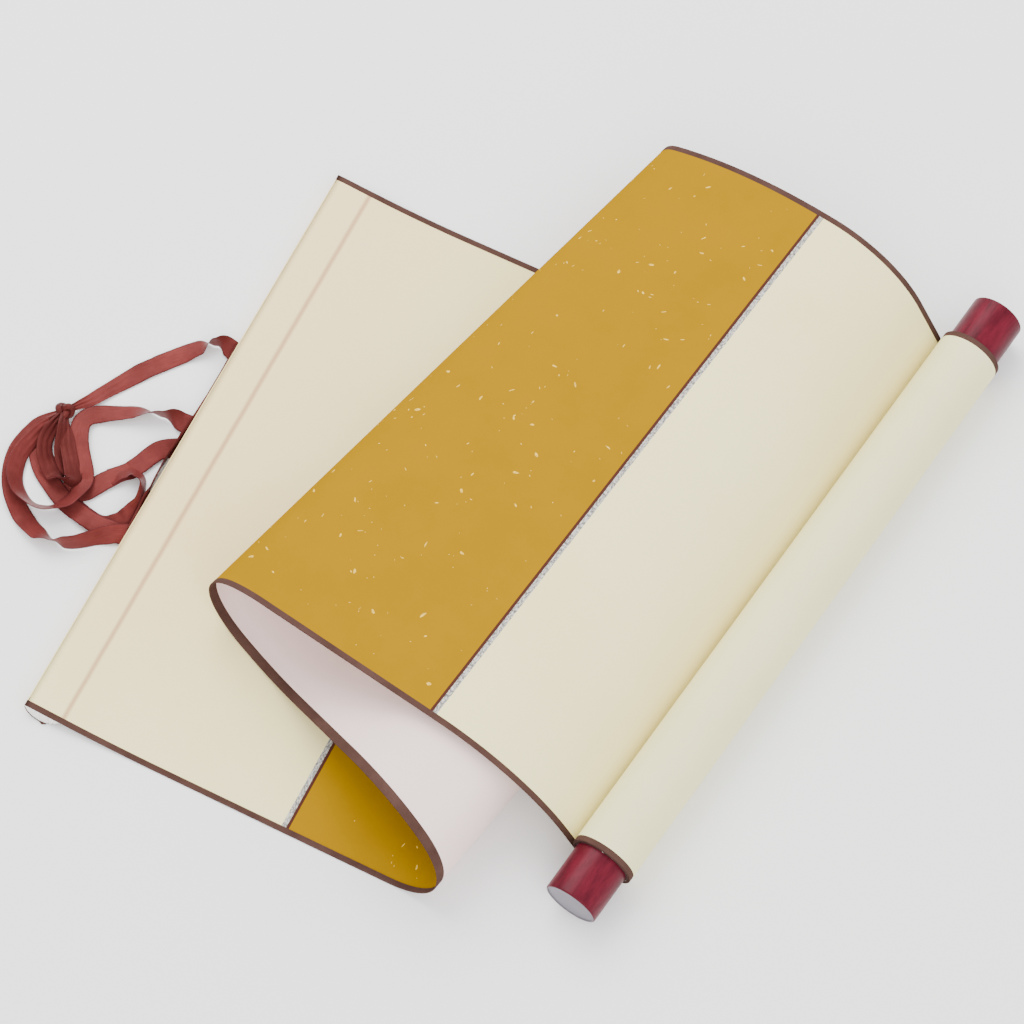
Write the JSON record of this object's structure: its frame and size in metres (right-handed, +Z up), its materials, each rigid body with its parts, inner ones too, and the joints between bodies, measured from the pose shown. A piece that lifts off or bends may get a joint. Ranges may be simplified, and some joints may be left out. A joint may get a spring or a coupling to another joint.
{
  "type": "paper scroll",
  "caption": "Hanging paper scroll, part unrolled in a standing fold, with a half-round top stave, a wooden roller, turned end knobs and a tie ribbon.",
  "frame": {"origin": "middle of the base of the scroll without its ribbon, on the surface it lies on", "axes": "+Z up; +Y along the bottom roller, away from the near knob; +X from the top stave towards the roller"},
  "size_m": [0.3907, 0.4488, 0.0655],
  "materials": {
    "mounted_paper": "matte cream silk-faced paper with a yellow panel and brown edging",
    "stave_wood": "bare planed wood",
    "rod_wood": "bare turned wood",
    "knob_lacquer": "burgundy marbled gloss with a pale grey end",
    "ribbon_satin": "dark red satin ribbon"
  },
  "bodies": {
    "root": {"sheet": "mounted_paper", "top_stave": "stave_wood", "roller_rod": "rod_wood", "near_knob": "knob_lacquer", "far_knob": "knob_lacquer", "ribbon_hanger": "ribbon_satin", "ribbon_lead": "ribbon_satin", "ribbon_return": "ribbon_satin", "ribbon_branch": "ribbon_satin", "ribbon_tangle": "ribbon_satin"}
  },
  "joints": []
}
